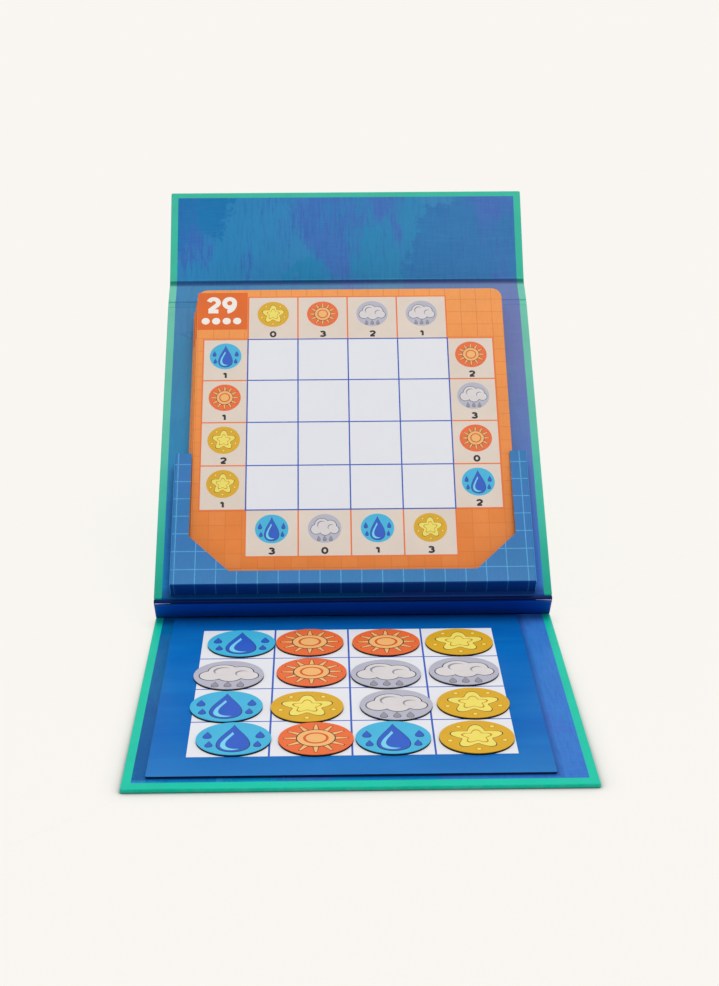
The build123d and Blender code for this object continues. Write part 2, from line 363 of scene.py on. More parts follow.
def case_green(place):
    """Green ink, with painted sheen up the back cover and painted shade at its foot and in the flap's fold.
    """
    _, height, _ = place.split()
    # painted sheen: a lighter green where the overhead light shines on the border
    ink = mix(placed_group(painted_sheen, "Pale", place=place), srgb(14, 199, 168), srgb(112, 203, 178))
    # painted shade: a darker green at the foot of the back cover
    foot = (height > 10.0) * height.spread(70.0, 16.0, 0.0, 0.5)
    ink = mix(foot, ink, srgb(24, 128, 104))
    # painted shade in the flap's fold
    return mix(near_crease(height, FLAP_CREASE, 0.6), ink, srgb(0, 84, 96))


wrap_green = paper_material("wrap_green", case_green, 0.38, gloss=0.07, rub=0.05, mottle=0.1)
for panel in PANELS:
    width = CASE_WIDTH - (2 * TURNED_END if panel == "front_spine" else 0)
    board = (panel, width, OUTSIDE, INSIDE, BOARD_EDGE, wrap_green)
    shell = lay_on_panel(f"{panel}_shell", *board, corner=CASE_CORNER)
    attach(shell, panel)
    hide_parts(f"{panel}_wrap", f"{panel}_board")

# The lining: one printed sheet pasted over the turned-in green paper, with a brushed pattern of
# blue and violet ink of our own design. Each board shows its own length of it.
LINING_LEVEL = INSIDE + 0.02
LINING_PAPER, LINING_EDGE = 0.12, 0.22
LINED_WIDTH = CASE_WIDTH - 2 * 3.5  # 3.5 mm of green shows on either side
END_BORDERS = {"front_cover": 5.0, "back_cover": 0.0, "top_spine": 0.0, "closing_flap": 2.8}
BLUE_INK, TEAL_INK, SKY_INK = srgb(4, 126, 194), srgb(0, 144, 200), srgb(40, 144, 206)
VIOLET_INK, DRY_INK = srgb(62, 112, 206), srgb(10, 88, 176)
# the pale tones of the painted sheen on the lining, at its left and at its right
SHEEN_LEFT, SHEEN_RIGHT = srgb(106, 122, 136), srgb(168, 148, 152)
SHADE_INK = srgb(4, 34, 112)  # painted shade: at the foot of the back cover, in the flap's fold and close beside what stands on the lining
POCKET_SIDE, POCKET_HEAD = 82.6, 90.0  # painted shadow darkens the lining close beside the card pocket
BOARD_RIGHT, BOARD_FRONT = 74.5, -165.5  # and close beside the game board
FACETS = ((0.0, BLUE_INK), (0.24, TEAL_INK), (0.46, BLUE_INK), (0.55, SKY_INK), (0.79, VIOLET_INK))


def torn_facets(place, leaning):
    """Large torn facets of ink, each of one tone."""
    halfway = {0: noise(place, 0.16, 8.0, 0.8, take="Color"), 1: (0.5, 0.5, 0.5)}
    frayed = add_node(place.tree, "VectorMath", halfway, operation="SUBTRACT")
    frayed = add_node(place.tree, "VectorMath", {0: frayed, "Scale": 38.0}, operation="SCALE")
    torn = add_node(place.tree, "VectorMath", {0: place, 1: frayed})
    torn = {"Vector": stretched(torn, Rotation=(0, 0, 0.5), Scale=(0.032, 0.021, 1.0)), "Scale": 1.0}
    facets = add_node(place.tree, "TexVoronoi", torn, "Color", voronoi_dimensions="2D")
    dice = add_node(place.tree, "SeparateColor", {"Color": facets})
    tones = add_node(place.tree, "ValToRGB", {"Fac": dice * 0.8 + 0.1 + leaning})
    ramp = tones.socket.node.color_ramp
    ramp.interpolation = "CONSTANT"
    for stop, ink in FACETS[2:]:
        ramp.elements.new(stop)
    for element, (stop, ink) in zip(ramp.elements, FACETS):
        element.position, element.color = stop, ink
    return tones


def brushed_lining(place):
    """Torn facets of blue, teal and violet, with violet dragged over them by a dry brush. Painted
    shade and painted sheen lie over them.
    """
    across, up_the_sheet, _ = place.split()
    leaning = across * up_the_sheet.spread(150.0, 215.0, 0.0022, 0.0)
    strokes = noise(stretched(place, Rotation=(0, 0, -0.5), Scale=(0.03, 0.014, 1.0)), 1.0, 2.0, 0.5, 0.4)
    bristles = noise(stretched(place, Scale=(0.9, 0.08, 1.0)), 1.0, 6.0, 0.75)
    canvas = noise(stretched(place, Scale=(0.1, 1.3, 1.0)), 1.0, 4.0, 0.7)
    ragged = strokes + bristles * 0.5 + noise(place, 0.9, 5.0, 0.75) * 0.45
    violet = (ragged + leaning).spread(0.985, 1.065, 0.0, 0.8)
    inked = mix(violet, torn_facets(place, leaning), VIOLET_INK)
    inked = mix(canvas.spread(0.45, 0.7, 0.0, 0.4), inked, SKY_INK)
    inked = mix(bristles.spread(0.48, 0.72, 0.0, 0.42), inked, DRY_INK)
    # painted shade at the foot of the back cover, painted shadows beside the pocket and the board, and
    # painted shade in the flap's fold
    foot = (up_the_sheet > 10.0) * up_the_sheet.spread(22.0, 18.0, 0.0, 0.62)
    pocket_shadow = abs(across).spread(POCKET_SIDE + 3.4, POCKET_SIDE, 0.0, 0.5)
    pocket_shadow = pocket_shadow * up_the_sheet.spread(14.0, 18.0)
    pocket_shadow = pocket_shadow * up_the_sheet.spread(POCKET_HEAD, POCKET_HEAD - 4.0)
    board_shadow = (across - BOARD_RIGHT).larger(BOARD_FRONT - up_the_sheet)
    board_shadow = board_shadow.spread(3.2, 0.0, 0.0, 0.55) * (up_the_sheet < 0.0)
    for shade in (foot, pocket_shadow, board_shadow, near_crease(up_the_sheet, FLAP_CREASE, 0.7)):
        inked = mix(shade, inked, SHADE_INK)
    # painted sheen where the overhead light shines on the lining
    sheen_tone = mix(across.spread(-60.0, 60.0), SHEEN_LEFT, SHEEN_RIGHT)
    return mix(placed_group(painted_sheen, "Pale", place=place) * 0.36, inked, sheen_tone)


lining_print = paper_material("lining_print", brushed_lining, 0.24, gloss=0.03, rub=0.3)
for panel, border in END_BORDERS.items():
    paper = (panel, LINED_WIDTH, LINING_LEVEL - LINING_PAPER, LINING_LEVEL, LINING_EDGE, lining_print)
    sheet = lay_on_panel(f"{panel}_lining_sheet", *paper, border, steps=1)
    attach(sheet, panel)
    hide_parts(f"{panel}_lining")

# The navy strip: plain dark blue paper pasted over the front spine and turned down over both of
# its ends. At either end of its upper edge a pale sliver shows.
STRIP_LOW, STRIP_EDGE = -0.9, 0.4
SPINE_CREASES = (PANELS["front_spine"][5], PANELS["back_cover"][5])


def strip_navy(place):
    """Dark blue ink, with painted shade that makes it nearly black down in the two grooves."""
    across, height, _ = place.split()
    ink = mix(across.spread(-80.0, 40.0), srgb(2, 84, 188), srgb(2, 71, 174))
    # painted shade in the grooves
    for crease in SPINE_CREASES:
        ink = mix(near_crease(height, crease, 0.85), ink, srgb(0, 4, 56))
    return ink


navy_print = paper_material("navy_print", strip_navy, 0.34, gloss=0.08, rub=0.1)
worn_core = paper_material("worn_core", srgb(204, 206, 232), 0.7)
paper = ("front_spine", CASE_WIDTH, STRIP_LOW, LINING_LEVEL, STRIP_EDGE, navy_print)
strip = lay_on_panel("front_spine_strip", *paper)
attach(strip, "front_spine")
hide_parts("front_spine_lining")

# The creases: between two boards the wrap and the lining meet and are glued together, so that the
# case bends on two layers of paper. Each strip runs from one board's end to the hinge line or on to
# the next board, and bends where they meet.
FOLD_HALF = 0.25  # the paper bends this near the hinge line
REACHES_HINGE = 1.0  # a layer that comes nearer than this is joined across the hinge line
SHARPEST = 0.35  # limits how far a tight fold draws the layer out
# Each row of a section: distance from the hinge line, and the levels of the layer's two faces.
WRAP_SECTION = [
    (2.4, OUTSIDE, INSIDE),
    (1.95, OUTSIDE, INSIDE),
    (1.72, OUTSIDE + 0.06, INSIDE - 0.06),
    (1.57, OUTSIDE + 0.22, INSIDE - 0.22),
    (1.5, OUTSIDE + 0.6, 0.16),
    (1.38, -0.32, 0.05),
    (1.1, -0.15, 0.0),
    (0.6, -0.15, 0.0),
]
LINING_SECTION = [
    (2.4, LINING_LEVEL - LINING_PAPER, LINING_LEVEL),
    (1.95, LINING_LEVEL - LINING_PAPER, LINING_LEVEL),
    (1.7, LINING_LEVEL - 0.2, LINING_LEVEL - 0.07),
    (1.52, 0.2, LINING_LEVEL - 0.24),
    (1.38, 0.08, 0.24),
    (1.1, 0.02, 0.15),
    (0.6, 0.02, 0.15),
]
# The navy strip is as thick as the board's end that it is turned down over.
TURNED_LOW = (STRIP_LOW, STRIP_LOW, -0.75, -0.4, -0.25, -0.12, -0.12)
TURNED_SECTION = [(away, low, high) for (away, _, high), low in zip(LINING_SECTION, TURNED_LOW)]
WRAP_FINISH = (BOARD_EDGE, wrap_green, "wrap_green")
LINING_FINISH = (LINED_WIDTH, 0.03, lining_print, "lining_blue")
STRIP_FINISH = (CASE_WIDTH, STRIP_EDGE, navy_print, "lining_navy")
# Each strip: its name, the section on either side of the hinge line, its width, how far its ends
# are rounded, its paper and its finish.
WHOLE_WRAP = ("wrap", WRAP_SECTION, WRAP_SECTION, CASE_WIDTH, *WRAP_FINISH)
SPINE_WRAP = ("wrap", WRAP_SECTION, WRAP_SECTION, CASE_WIDTH - 2 * TURNED_END, *WRAP_FINISH)
WHOLE_LINING = ("lining", LINING_SECTION, LINING_SECTION, *LINING_FINISH)
LINING_BEFORE = ("lining", LINING_SECTION, [], *LINING_FINISH)
LINING_AFTER = ("lining", [], LINING_SECTION[:5], *LINING_FINISH)
STRIP_AFTER = ("strip", [], TURNED_SECTION, *STRIP_FINISH)
STRIP_ACROSS = ("strip", TURNED_SECTION, TURNED_SECTION[4:], *STRIP_FINISH)
CREASES = [
    ("front_crease", "front_cover", "front_spine", (SPINE_WRAP, LINING_BEFORE, STRIP_AFTER)),
    ("lower_crease", "front_spine", "back_cover", (SPINE_WRAP, STRIP_ACROSS, LINING_AFTER)),
    ("upper_crease", "back_cover", "top_spine", (WHOLE_WRAP, WHOLE_LINING)),
    ("flap_crease", "top_spine", "closing_flap", (WHOLE_WRAP, WHOLE_LINING)),
]


def section_points(section_before, section_after, before, after):
    """The layer across the hinge: distance from it, the two levels and the way it points."""
    rows = [(-distance, low, high, before) for distance, low, high in section_before]
    nearest, low, high = (section_before or section_after)[-1]
    if nearest < REACHES_HINGE:
        sharpness = max(cos(radians(after - before) / 2), SHARPEST)
        rows.append((0.0, low / sharpness, high / sharpness, (before + after) / 2))
    return rows + [(distance, low, high, after) for distance, low, high in reversed(section_after)]


def add_crease_strip(mesh, rows, width, end_round, along):
    sheet = mesh.verts.layers.float_vector["sheet"]
    stations = []
    for share in (0.0, 0.3, 1.0):
        stations.append((-width / 2 + end_round * share, end_round * (1 - share) ** 2))
    stations += [(-x, loss) for x, loss in reversed(stations)]
    loops = []
    for x, loss in stations:
        lower, upper = [], []
        for v, low, high, turn in rows:
            halfway, half = (low + high) / 2, (high - low) / 2
            kept = max(half - loss, half * 0.4)
            a = radians(turn)
            for level, row in ((halfway - kept, lower), (halfway + kept, upper)):
                vertex = mesh.verts.new((x, v * cos(a) - level * sin(a), v * sin(a) + level * cos(a)))
                vertex[sheet] = (x, v + along, level)
                row.append(vertex)
        loops.append(lower + upper[::-1])
    for this, that in zip(loops, loops[1:]):
        bridge(mesh, this, that)
    for loop, back in ((loops[0], True), (loops[-1], False)):
        for i in range(len(rows) - 1):
            quad = (loop[i], loop[i + 1], loop[-i - 2], loop[-i - 1])
            mesh.faces.new(quad[::-1] if back else quad)


for crease, near_panel, far_panel, layers in CREASES:
    before = PANELS[near_panel][1]
    hinge, after, *_, along = PANELS[far_panel]
    spot = Vector(HINGE[hinge])
    reach = FOLD_HALF * 0.001
    a, b = radians(before), radians(after)
    fold_start = spot - Vector((0, cos(a), sin(a))) * reach
    fold_end = spot + Vector((0, cos(b), sin(b))) * reach
    for part, section_before, section_after, width, rounding, material, slot in layers:
        drawn = start_mesh()
        rows = section_points(section_before, section_after, before, after)
        add_crease_strip(drawn, rows, width, rounding, along)
        strip = finish_mesh(drawn, f"{crease}_{part}", stand_at(spot, 0), [material])
        for face in strip.data.polygons:
            face.use_smooth = len(face.vertices) == 4
        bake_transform(strip, near_panel, far_panel, start=fold_start, end=fold_end)
        if part == "wrap":
            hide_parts(f"{crease}_joint")

# A pale sliver at either end of the navy strip's upper edge, that follows the rounded edge of
# the strip.
SLIVER_LENGTH, SLIVER_LIFT = 7.0, 0.035
SLIVER_OUTER, SLIVER_INNER = (1.35, 0.65), (0.8, 0.62)  # where the sliver lies, from the hinge line


def level_of_strip(distance):
    """How high the navy strip stands at a distance from its hinge line."""
    for (far, _, high), (near, _, low) in zip(TURNED_SECTION, TURNED_SECTION[1:]):
        if near <= distance <= far:
            return low + (high - low) * (distance - near) / (far - near)
    return LINING_LEVEL


drawn = start_mesh()
for side in (-1, 1):
    loops = []
    for share in (0.0, 0.35, 0.7, 1.0):
        x = side * (CASE_WIDTH / 2 - 0.35 - SLIVER_LENGTH * share)
        outer, inner = [a + (b - a) * share for a, b in zip(SLIVER_OUTER, SLIVER_INNER)]
        row = [outer + (inner - outer) * step / 5 for step in range(6)]
        upper = [drawn.verts.new((x, -d, level_of_strip(d) + SLIVER_LIFT)) for d in row]
        lower = [drawn.verts.new((x, -d, level_of_strip(d) - SLIVER_LIFT)) for d in row]
        loops.append(upper + lower[::-1])
    add_skin(drawn, loops)
spine_end = stand_at(HINGE["back_cover_fold"], PANELS["front_spine"][1])
pale_edge = finish_mesh(drawn, "front_spine_worn_ends", spine_end, [worn_core])
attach(pale_edge, "front_spine")

# The two magnets let into the closing flap's board lie under the paper, out of sight: the CAD
# discs are kept as they are and only get the look of nickel-plated steel.
magnet_steel, tree, surface = new_material("magnet_steel")
plating = noise(object_place(tree), 900.0)
plating = {"Roughness": plating.spread(0.0, 1.0, 0.25, 0.45), "Base Color": srgb(190, 188, 180)}
set_inputs(surface, {"Metallic": 1.0, **plating})


def recolour(node, material):
    """Gives a CAD mesh that is kept its look."""
    slots = frame["nodes"][node].data.materials
    for index in range(len(slots)):
        slots[index] = material


recolour("closing_flap_magnets", magnet_steel)

# The game board: a trimmed steel sheet glued to the front cover's lining, with a blue printed card
# face laid over it. Its sixteen white cells are printed on the blue, with fine lines between them.
FACE_WIDTH, FACE_HEIGHT, FACE_CORNER, FACE_EDGE = 155.7, 159.6, 0.8, 0.1
FACE_CENTRE = (-3.3, 1.9)
STEEL_LOW, FACE_LOW, FACE_HIGH = 1.8, 2.3, 2.9
STEEL_INSET, STEEL_EDGE = 0.6, 0.08
CELLS = 4  # rows and columns of each field
FIELD = ((-67.2, 61.8), (-62.1, 66.9))  # from side to side, and from front to rear
FIELD_LINE = 0.8
INK = 0.012  # each layer of print stands this high
PRINT_DEPTH, INK_DEPTH = 0.05, 0.04  # how far printed cells and signs reach down into the paper


def middle(reach):
    return (reach[0] + reach[1]) / 2


def length(reach):
    return reach[1] - reach[0]


def round_rectangle(width, height, corner, centre):
    """The outline of a sheet cut with four round corners, for each inset."""

    def outline(inset):
        (x, y), side, end = centre, width / 2 - inset, height / 2 - inset
        radius = max(corner - inset, LEAST_RADIUS)
        return rectangle((x - side, x + side), (y - end, y + end), [radius] * 4)

    return outline


def board_blue(place):
    """Blue ink that dries a little uneven, in long soft bands, with painted shade at the rear
    and painted sheen towards the player.
    """
    _, height, _ = place.split()
    bands = noise(stretched(place, Scale=(0.01, 0.05, 0.02)), 1.0, 4.0, 0.6, 0.5)
    ink = mix(bands.spread(0.35, 0.65), srgb(6, 100, 186), srgb(16, 113, 193))
    # painted shade towards the rear, under the front spine
    ink = mix(height.spread(45.0, 82.0, 0.0, 0.6), ink, srgb(2, 76, 150))
    # painted sheen towards the player
    return mix(height.spread(-45.0, -78.0, 0.0, 0.6), ink, srgb(48, 128, 196))


face_print = paper_material("face_print", board_blue, 0.2, gloss=0.025, rub=0.05)
face_edge_ink = paper_material("face_edge_ink", srgb(12, 32, 84), 0.6)
cell_white = paper_material("cell_white", srgb(232, 233, 239), 0.5, mottle=0.02)
cell_line_ink = paper_material("cell_line_ink", srgb(52, 92, 190), 0.5)

flat = Matrix.Scale(0.001, 4)
width, height = FACE_WIDTH - 2 * STEEL_INSET, FACE_HEIGHT - 2 * STEEL_INSET
shape = round_rectangle(width, height, FACE_CORNER, FACE_CENTRE)
steel_dark, tree, surface = new_material("steel_dark")
rolled = stretched(object_place(tree), Scale=(40.0, 2500.0, 400.0))
rolled = mix(noise(rolled, 1.0, 3.0), srgb(52, 56, 66), srgb(84, 88, 98))
set_inputs(surface, {"Metallic": 0.8, "Roughness": 0.4, "Base Color": rolled})
plate = make_slab("game_board_plate", shape, STEEL_LOW, FACE_LOW, STEEL_EDGE, flat, [steel_dark], 2)
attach(plate, "front_cover")
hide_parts("game_board_steel")

shape = round_rectangle(FACE_WIDTH, FACE_HEIGHT, FACE_CORNER, FACE_CENTRE)
inks = [face_print, face_edge_ink]
face = make_slab("game_board_print", shape, FACE_LOW, FACE_HIGH, FACE_EDGE, flat, inks, 2)
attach(face, "front_cover")
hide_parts("game_board_face")


def geometry_tree(name, draw, **sockets):
    """A Geometry Nodes tree with named inputs. draw gets them and hands over the geometry."""
    tree = bpy.data.node_groups.new(name, "GeometryNodeTree")
    for socket, kind in sockets.items():
        label = socket.replace("_", " ").capitalize()
        tree.interface.new_socket(label, in_out="INPUT", socket_type=f"NodeSocket{kind}")
    tree.interface.new_socket("Geometry", in_out="OUTPUT", socket_type="NodeSocketGeometry")
    entry = tree.nodes.new("NodeGroupInput").outputs
    geometry = draw(*[Output(tree, entry[number]) for number in range(len(sockets))])
    set_inputs(tree.nodes.new("NodeGroupOutput"), {0: geometry})
    return tree


def change(kind, geometry, **inputs):
    """Passes a geometry through one more node."""
    return add_node(geometry.tree, f"GeometryNode{kind}", {0: geometry, **inputs})


def remember_place(geometry):
    """Stores the flat place of each point, which the paper's print goes by."""
    here = add_node(geometry.tree, "GeometryNodeInputPosition")
    inputs = {"Geometry": geometry, "Name": "sheet", "Value": here}
    kind = {"data_type": "FLOAT_VECTOR", "domain": "POINT"}
    return add_node(geometry.tree, "GeometryNodeStoreNamedAttribute", inputs, **kind)


def draw_cells(columns, rows, cell_width, cell_height, line, thickness, centre, ink):
    """Squares of print in rows and columns, as the game board and every puzzle card carry them."""
    field = {"Size X": (columns - 1.0) * cell_width, "Size Y": (rows - 1.0) * cell_height}
    field |= {"Vertices X": columns, "Vertices Y": rows}
    size = {"X": cell_width - line, "Y": cell_height - line, "Z": thickness}
    size = add_node(ink.tree, "CombineXYZ", size)
    one_cell = add_node(ink.tree, "GeometryNodeMeshCube", {"Size": size})
    points = add_node(ink.tree, "GeometryNodeMeshGrid", field)
    cells = change("RealizeInstances", change("InstanceOnPoints", points, Instance=one_cell))
    cells = remember_place(change("Transform", cells, Translation=centre))
    return change("SetMaterial", cells, Material=ink)


cell_grid = geometry_tree(
    "printed_cells", draw_cells, columns="Int", rows="Int", cell_width="Float", cell_height="Float",
    line="Float", thickness="Float", centre="Vector", ink="Material",
)


def grow(tree, name, where, base=None, **inputs):
    """Runs a Geometry Nodes tree with the given inputs and returns the plain mesh, placed."""
    source = put_in_scene(name + "_source", base or bpy.data.meshes.new(name))
    modifier = source.modifiers.new("grow", "NODES")
    modifier.node_group = tree
    for item in tree.interface.items_tree:
        key = item.name.lower().replace(" ", "_")
        if item.in_out == "INPUT" and key in inputs:
            modifier[item.identifier] = inputs[key]
    seen = source.evaluated_get(bpy.context.evaluated_depsgraph_get())
    data = bpy.data.meshes.new_from_object(seen)
    data.name = name
    bpy.data.objects.remove(source)
    data.transform(where)
    return put_in_scene(name, data)


def join_pieces(name, parts):
    """Makes several pieces one mesh, with each material once."""
    with bpy.context.temp_override(active_object=parts[0], selected_editable_objects=parts):
        bpy.ops.object.join()
    parts[0].name = name
    return parts[0]


def print_cells(name, columns, rows, field, line, level, ink, where):
    """Prints a field of cells whose top stands at the level. line is the bare gap between cells;
    below nothing, it lets a single cell stand out past its field."""
    width, height = length(field[0]) / columns, length(field[1]) / rows
    centre = (middle(field[0]), middle(field[1]), level - PRINT_DEPTH / 2)
    return grow(
        cell_grid, name, where, columns=columns, rows=rows, cell_width=width, cell_height=height,
        line=line, thickness=PRINT_DEPTH, centre=centre, ink=ink,
    )


lines = print_cells("field_lines", 1, 1, FIELD, FIELD_LINE, FACE_HIGH + INK, cell_line_ink, flat)
cells = print_cells(
    "field_cells", CELLS, CELLS, FIELD, FIELD_LINE, FACE_HIGH + 2 * INK, cell_white, flat
)
field = join_pieces("game_board_field", [lines, cells])
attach(field, "front_cover")

# The sixteen round pieces: discs of dark flexible magnet sheet with a printed paper face, cut with
# one punch. Four colours, each with a plain weather sign of our own: drop, sun, cloud and star.
PIECE_DIAMETER = 29.6
MAGNET_HIGH, FACE_TOP = 3.6, 3.9
MAGNET_EDGE, LABEL_EDGE = 0.06, 0.08  # how far the punch rounds the two layers


def draw_disc(diameter, low, thickness, edge, centre, body):
    """A disc whose top and bottom edges are cut back a little."""
    radius = diameter * 0.5
    cut_radius = radius - edge
    circle = {"Vertices": 96, "Radius": cut_radius}
    disc = add_node(body.tree, "GeometryNodeMeshCircle", circle, fill_type="NGON")

    def raised(shape, rise, **top):
        rise = add_node(body.tree, "CombineXYZ", {"Z": rise})
        inputs = {"Mesh": shape, "Offset": rise, "Offset Scale": 1.0, "Individual": False, **top}
        return add_node(body.tree, "GeometryNodeExtrudeMesh", inputs, ("Mesh", "Top"), mode="FACES")

    shape, top = raised(disc, edge)
    shape = change("ScaleElements", shape, Selection=top, Scale=radius / cut_radius)
    shape, top = raised(shape, thickness - edge * 2.0, Selection=top)
    shape, top = raised(shape, edge, Selection=top)
    shape = change("ScaleElements", shape, Selection=top, Scale=cut_radius / radius)
    whole = change("JoinGeometry", shape)
    set_inputs(whole.socket.node, {0: change("FlipFaces", disc)})
    whole = remember_place(change("MergeByDistance", whole, Distance=0.0001))
    lift = add_node(body.tree, "CombineXYZ", {"Z": low})
    spot = add_node(body.tree, "VectorMath", {0: centre, 1: lift})
    whole = change("RealizeInstances", change("Transform", whole, Translation=spot))
    return change("SetMaterial", whole, Material=body)


round_piece = geometry_tree(
    "round_piece", draw_disc, diameter="Float", low="Float", thickness="Float", edge="Float",
    centre="Vector", body="Material",
)
magnet_sheet = paper_material("magnet_sheet", srgb(34, 28, 26), 0.7, bump=0.08)
outline_ink = paper_material("outline_ink", srgb(40, 40, 52), 0.5)
# Each colour's ground, sign and detail.
SIGN_COLOURS = {
    "blue": (srgb(66, 182, 224), srgb(42, 92, 198), srgb(120, 212, 240)),
    "orange": (srgb(238, 108, 52), srgb(247, 184, 112), srgb(214, 92, 40)),
    "grey": (srgb(184, 184, 200), srgb(222, 216, 216), srgb(150, 146, 158)),
    "yellow": (srgb(222, 170, 30), srgb(244, 226, 104), srgb(196, 140, 20)),
}
sign_inks = {}
for colour, tones in SIGN_COLOURS.items():
    sign_inks[colour] = [
        paper_material(f"{colour}_{use}", tone, dry, size=0.7)
        for use, tone, dry in zip(("ground", "sign", "detail"), tones, (0.4, 0.42, 0.42))
    ]


def curved(reach, count, x=0.0, y=0.0):
    """A closed outline whose distance from its centre follows reach(turn)."""
    turns = [2 * pi * step / count for step in range(count)]
    return [(x + reach(turn) * cos(turn), y + reach(turn) * sin(turn)) for turn in turns]


def spot_outline(x, y, radius, count=32):
    return curved(lambda turn: radius, count, x, y)


def drop_outline(x, y, size, wider=0.0):
    """A drop with its point up."""
    points = []
    for step in range(48):
        turn = 2 * pi * step / 48
        across = (size * 0.78 + wider) * sin(turn / 2) ** 1.7 * sin(turn)
        points.append((x + across, y + (size + wider) * cos(turn)))
    return points[::-1]


def star_outline(size, depth):
    return curved(lambda turn: size * (1 + depth * cos(5 * (turn - pi / 2))), 120)


def ray_outline(turn, near, far, width):
    """One ray of the sun, wide near it and narrow at its tip."""
    across, out = Vector((-sin(turn), cos(turn))) * width, Vector((cos(turn), sin(turn)))
    tip, root = across * 0.35, out * near
    return [tuple(corner) for corner in (root - across, out * far - tip, out * far + tip, root + across)]


def cloud_outline(puffs, wider=0.0):
    """One outline round a heap of overlapping round puffs."""

    def reach(turn):
        farthest = 0.05
        for x, y, size in puffs:
            along = x * cos(turn) + y * sin(turn)
            square = (size + wider) ** 2 - (x * x + y * y - along * along)
            if square > 0:
                farthest = max(farthest, along + square**0.5)
        return farthest

    return curved(reach, 144)


def drop_sign():
    layers = [(1, 3, drop_outline(0.0, 0.0, 0.82, 0.03)), (2, 1, drop_outline(0.0, 0.0, 0.82))]
    layers += [(3, 2, drop_outline(-0.04, -0.17, 0.56)), (4, 1, drop_outline(0.09, -0.1, 0.56))]
    for x, y, size in ((-0.7, 0.2, 0.2), (0.7, 0.2, 0.2), (-0.64, -0.36, 0.17), (0.64, -0.36, 0.17)):
        layers += [(1, 3, drop_outline(x, y, size, 0.025)), (2, 1, drop_outline(x, y, size))]
    return layers


def sun_sign():
    layers = []
    for step in range(12):
        turn = 2 * pi * step / 12
        layers.append((1, 3, ray_outline(turn, 0.5, 0.87, 0.095)))
        layers.append((2, 1, ray_outline(turn, 0.5, 0.845, 0.07)))
    rings = ((3, 3, 0.53, 64), (4, 1, 0.5, 64), (5, 2, 0.34, 48), (6, 1, 0.27, 48))
    return layers + [(layer, ink, spot_outline(0, 0, size, count)) for layer, ink, size, count in rings]


def cloud_sign():
    puffs = ((-0.5, -0.06, 0.32), (-0.16, 0.26, 0.42), (0.34, 0.2, 0.35))
    puffs += ((0.57, -0.08, 0.27), (0.04, -0.12, 0.34))
    layers = [(1, 3, cloud_outline(puffs, 0.03)), (2, 1, cloud_outline(puffs))]
    for x in (-0.36, 0.0, 0.36):
        layers += [(1, 3, drop_outline(x, -0.68, 0.18, 0.02)), (2, 2, drop_outline(x, -0.68, 0.18))]
    layers += [(3, 2, spot_outline(-0.18, 0.26, 0.27)), (4, 1, spot_outline(-0.12, 0.2, 0.27))]
    return layers + [(5, 2, spot_outline(0.38, 0.08, 0.2)), (6, 1, spot_outline(0.43, 0.03, 0.2))]


def star_sign():
    layers = [(1, 3, star_outline(0.59, 0.26)), (2, 1, star_outline(0.565, 0.26))]
    layers += [(3, 2, star_outline(0.35, 0.24)), (4, 1, star_outline(0.305, 0.24))]
    for step in range(5):
        turn = 2 * pi * step / 5 - pi / 2
        x, y = 0.76 * cos(turn), 0.76 * sin(turn)
        layers += [(1, 2, spot_outline(x, y, 0.085, 24)), (2, 1, spot_outline(x, y, 0.06, 24))]
    return layers


# Each sign on a disc of radius 1: layer, ink and outline. Ink 0 is the ground, 1 the sign, 2 its
# detail and 3 the dark outline.
SIGNS = {"blue": drop_sign(), "orange": sun_sign(), "grey": cloud_sign(), "yellow": star_sign()}


def add_ink(mesh, outline, surface, high, slot):
    """One closed patch of ink with a straight edge, let a little into the printed surface."""
    levels = (surface - INK_DEPTH, high)
    add_skin(mesh, [add_ring(mesh, outline, level) for level in levels], slot)


def add_sign(mesh, colour, x, y, radius, level, slots):
    """Prints a colour's sign round a centre. slots gives the mesh's slot for each of the inks."""
    for layer, ink, outline in SIGNS[colour]:
        points = [(x + across * radius, y + up * radius) for across, up in outline]
        add_ink(mesh, points, level, level + layer * INK, slots[ink])


def punched(name, low, high, edge, centre, body):
    """One layer of a round piece."""
    sizes = {"diameter": PIECE_DIAMETER, "low": low, "thickness": high - low, "edge": edge}
    return grow(round_piece, name, flat, centre=centre, body=body, **sizes)


for name in frame["nodes"]:
    if not name.endswith("_magnet"):
        continue
    piece_name = name.removesuffix("_magnet")
    colour = piece_name.split("_")[0]
    low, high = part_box(name)
    x, y = (low.x + high.x) * 500, (low.y + high.y) * 500
    disc = punched(f"{piece_name}_disc", FACE_HIGH, MAGNET_HIGH, MAGNET_EDGE, (x, y, 0.0), magnet_sheet)
    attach(disc, piece_name)
    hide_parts(name)
    ground = sign_inks[colour][0]
    label = punched(f"{piece_name}_label", MAGNET_HIGH, FACE_TOP, LABEL_EDGE, (x, y, 0.0), ground)
    drawn = start_mesh()
    add_sign(drawn, colour, x, y, PIECE_DIAMETER / 2, FACE_TOP, (0, 1, 2, 3))
    sign = finish_mesh(drawn, f"{piece_name}_sign", flat, [*sign_inks[colour], outline_ink])
    label = join_pieces(f"{piece_name}_label", [label, sign])
    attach(label, piece_name)
    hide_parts(f"{piece_name}_face")

